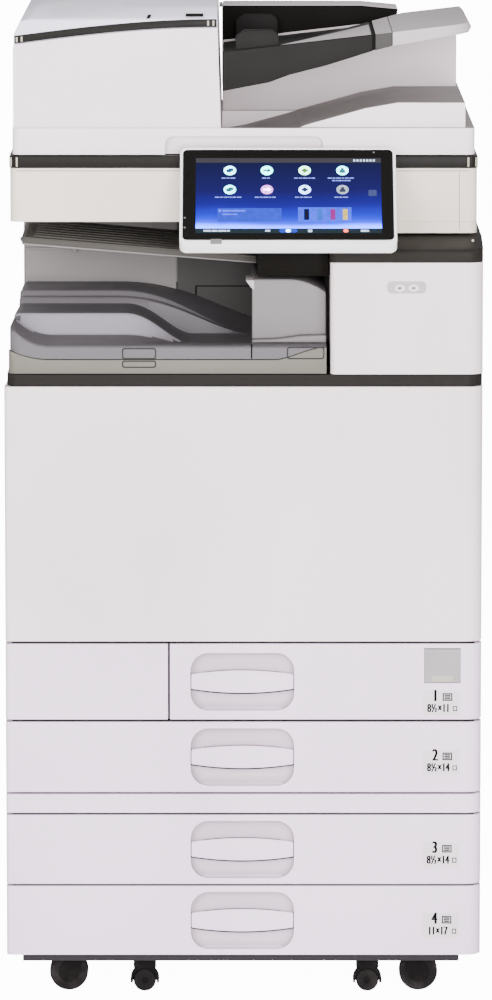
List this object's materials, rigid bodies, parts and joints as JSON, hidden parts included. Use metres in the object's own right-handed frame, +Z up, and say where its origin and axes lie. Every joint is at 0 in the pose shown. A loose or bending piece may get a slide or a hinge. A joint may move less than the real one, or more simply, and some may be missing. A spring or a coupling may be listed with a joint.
{
  "type": "photocopier",
  "caption": "Floor-standing office photocopier with document feeder, tilting touch panel, in-body output trays, front door, paper drawers and casters.",
  "frame": {"origin": "on the floor under the middle of the overall box", "axes": "+Z up, front faces -Y, +X to the right of a person in front"},
  "size_m": [0.587, 0.685, 1.222],
  "materials": {
    "steel": "zinc-coated folded sheet",
    "white_cover": "fine-textured moulded cover",
    "side_cover": "fine-textured moulded cover",
    "dark_trim": "satin dark grey",
    "tray_grey": "satin warm grey",
    "dark_tray": "satin dark grey",
    "light_grey": "satin light grey",
    "exit_grey": "satin light grey",
    "glass_clear": "clear float glass",
    "panel_black": "black cover glass",
    "flap_clear": "frosted translucent plastic",
    "button_black": "gloss black",
    "rubber": "roller rubber",
    "wheel_black": "hard black nylon",
    "caster_black": "black moulded nylon",
    "engine_dark": "black moulded housing",
    "toner": "moulded bottle",
    "inner_grey": "light grey inner cover",
    "case_grey": "grey moulded paper case",
    "pad_white": "white pressing sheet"
  },
  "bodies": {
    "chassis": {"main_frame": "steel", "left_cover": "side_cover", "right_cover": "side_cover", "rear_cover": "side_cover", "waist_trim": "dark_trim", "right_front_cover": "white_cover", "right_top_cover": "dark_trim", "output_tray": "tray_grey", "upper_output_tray": "dark_tray", "cavity_back_wall": "light_grey", "cavity_front_panel": "tray_grey", "exit_unit": "exit_grey", "lower_left_cover": "white_cover", "bank_housing": "white_cover", "caster_brackets": "caster_black", "laser_unit": "engine_dark", "drum_units": "engine_dark", "transfer_unit": "engine_dark", "toner_bottles": "toner", "inner_cover": "inner_grey", "fuser_unit": "engine_dark", "drive_unit": "steel", "controller_box": "steel", "scanner_housing": "white_cover", "scanner_top_frame": "dark_trim", "platen_glass": "glass_clear"},
    "front_door": {"front_door": "white_cover"},
    "drawer_1": {"tray_1_front": "white_cover", "tray_1_case": "case_grey"},
    "drawer_2": {"tray_2_front": "white_cover", "tray_2_case": "case_grey"},
    "drawer_3": {"tray_3_front": "white_cover", "tray_3_case": "case_grey"},
    "drawer_4": {"tray_4_front": "white_cover", "tray_4_case": "case_grey"},
    "power_flap": {"power_flap": "flap_clear"},
    "power_button": {"power_button": "button_black"},
    "panel": {"panel_shell": "white_cover", "panel_glass": "panel_black"},
    "feeder": {"adf_base": "white_cover", "platen_pad": "pad_white", "adf_rear_housing": "light_grey", "adf_feeder_cover": "white_cover"},
    "feeder_lid": {"adf_top_cover": "exit_grey"},
    "feed_roller": {"adf_feed_roller": "rubber"},
    "document_table": {"adf_doc_tray": "dark_tray"},
    "fence_front": {"doc_fence_front": "dark_tray"},
    "fence_rear": {"doc_fence_rear": "dark_tray"},
    "right_door": {"right_door": "side_cover"},
    "bypass_tray": {"bypass_tray": "side_cover"},
    "scan_carriage": {"scan_carriage": "engine_dark"},
    "mirror_carriage": {"mirror_carriage": "engine_dark"},
    "caster_left": {"caster_fork_left": "caster_black"},
    "caster_right": {"caster_fork_right": "caster_black"},
    "caster_wheel_left": {"caster_wheel_left": "wheel_black"},
    "caster_wheel_right": {"caster_wheel_right": "wheel_black"},
    "inner_wheel_left": {"inner_wheel_left": "wheel_black"},
    "inner_wheel_right": {"inner_wheel_right": "wheel_black"},
    "rear_wheel_left": {"rear_wheel_left": "wheel_black"},
    "rear_wheel_right": {"rear_wheel_right": "wheel_black"}
  },
  "joints": [
    {"name": "front_door_hinge", "type": "hinge", "parent": "chassis", "child": "front_door", "pos_m": [0, -0.267, 0.459], "axis": [1, 0, 0], "range_deg": [0, 88]},
    {"name": "drawer_1_slide", "type": "slide", "parent": "chassis", "child": "drawer_1", "axis": [0, -1, 0], "range_m": [0, 0.4]},
    {"name": "drawer_2_slide", "type": "slide", "parent": "chassis", "child": "drawer_2", "axis": [0, -1, 0], "range_m": [0, 0.4]},
    {"name": "drawer_3_slide", "type": "slide", "parent": "chassis", "child": "drawer_3", "axis": [0, -1, 0], "range_m": [0, 0.4]},
    {"name": "drawer_4_slide", "type": "slide", "parent": "chassis", "child": "drawer_4", "axis": [0, -1, 0], "range_m": [0, 0.4]},
    {"name": "power_flap_hinge", "type": "hinge", "parent": "drawer_1", "child": "power_flap", "pos_m": [0.245, -0.2714, 0.4345], "axis": [-1, 0, 0], "range_deg": [0, 85]},
    {"name": "power_button_press", "type": "slide", "parent": "chassis", "child": "power_button", "axis": [0, 1, 0], "range_m": [0, 0.003], "stiffness_N_per_m": 500},
    {"name": "panel_tilt", "type": "hinge", "parent": "chassis", "child": "panel", "pos_m": [0.0543, -0.26415, 0.97331], "axis": [1, 0, 0], "range_deg": [0, 40]},
    {"name": "feeder_hinge", "type": "hinge", "parent": "chassis", "child": "feeder", "pos_m": [0, 0.258, 1.0466], "axis": [-1, 0, 0], "range_deg": [0, 60]},
    {"name": "feeder_lid_hinge", "type": "hinge", "parent": "feeder", "child": "feeder_lid", "pos_m": [-0.2825, 0, 1.1765], "axis": [0, -1, 0], "range_deg": [0, 60]},
    {"name": "feed_roller_spin", "type": "hinge", "parent": "feeder", "child": "feed_roller", "pos_m": [-0.062, 0, 1.1655], "axis": [0, 1, 0], "continuous": true},
    {"name": "document_table_hinge", "type": "hinge", "parent": "feeder", "child": "document_table", "pos_m": [-0.022, 0, 1.165], "axis": [0, -1, 0], "range_deg": [0, 15]},
    {"name": "fence_front_slide", "type": "slide", "parent": "document_table", "child": "fence_front", "axis": [0, 1, 0], "range_m": [0, 0.09]},
    {"name": "fence_rear_slide", "type": "slide", "parent": "document_table", "child": "fence_rear", "axis": [0, -1, 0], "range_m": [0, 0.09]},
    {"name": "right_door_hinge", "type": "hinge", "parent": "chassis", "child": "right_door", "pos_m": [0.2886, 0, 0.366], "axis": [0, 1, 0], "range_deg": [0, 60]},
    {"name": "bypass_tray_hinge", "type": "hinge", "parent": "right_door", "child": "bypass_tray", "pos_m": [0.2885, 0, 0.4075], "axis": [0, 1, 0], "range_deg": [0, 75]},
    {"name": "scan_carriage_slide", "type": "slide", "parent": "chassis", "child": "scan_carriage", "axis": [1, 0, 0], "range_m": [0, 0.42]},
    {"name": "mirror_carriage_slide", "type": "slide", "parent": "chassis", "child": "mirror_carriage", "axis": [1, 0, 0], "range_m": [0, 0.21]},
    {"name": "caster_swivel_left", "type": "hinge", "parent": "chassis", "child": "caster_left", "pos_m": [-0.2015, -0.228, 0.05], "axis": [0, 0, 1], "range_deg": [-120, 120]},
    {"name": "caster_wheel_spin_left", "type": "hinge", "parent": "caster_left", "child": "caster_wheel_left", "pos_m": [-0.2175, -0.228, 0.024], "axis": [0, 1, 0], "continuous": true},
    {"name": "rear_wheel_spin_left", "type": "hinge", "parent": "chassis", "child": "rear_wheel_left", "pos_m": [-0.2175, 0.26, 0.024], "axis": [1, 0, 0], "continuous": true},
    {"name": "caster_swivel_right", "type": "hinge", "parent": "chassis", "child": "caster_right", "pos_m": [0.2015, -0.228, 0.05], "axis": [0, 0, 1], "range_deg": [-120, 120]},
    {"name": "caster_wheel_spin_right", "type": "hinge", "parent": "caster_right", "child": "caster_wheel_right", "pos_m": [0.2175, -0.228, 0.024], "axis": [0, 1, 0], "continuous": true},
    {"name": "rear_wheel_spin_right", "type": "hinge", "parent": "chassis", "child": "rear_wheel_right", "pos_m": [0.2175, 0.26, 0.024], "axis": [1, 0, 0], "continuous": true},
    {"name": "inner_wheel_spin_left", "type": "hinge", "parent": "chassis", "child": "inner_wheel_left", "pos_m": [-0.123, -0.2355, 0.014], "axis": [0, 1, 0], "continuous": true},
    {"name": "inner_wheel_spin_right", "type": "hinge", "parent": "chassis", "child": "inner_wheel_right", "pos_m": [0.154, -0.2355, 0.014], "axis": [0, 1, 0], "continuous": true}
  ],
  "couplings": [
    {"joint": "fence_rear_slide", "follows": "fence_front_slide", "ratio": 1},
    {"joint": "mirror_carriage_slide", "follows": "scan_carriage_slide", "ratio": 0.5}
  ]
}
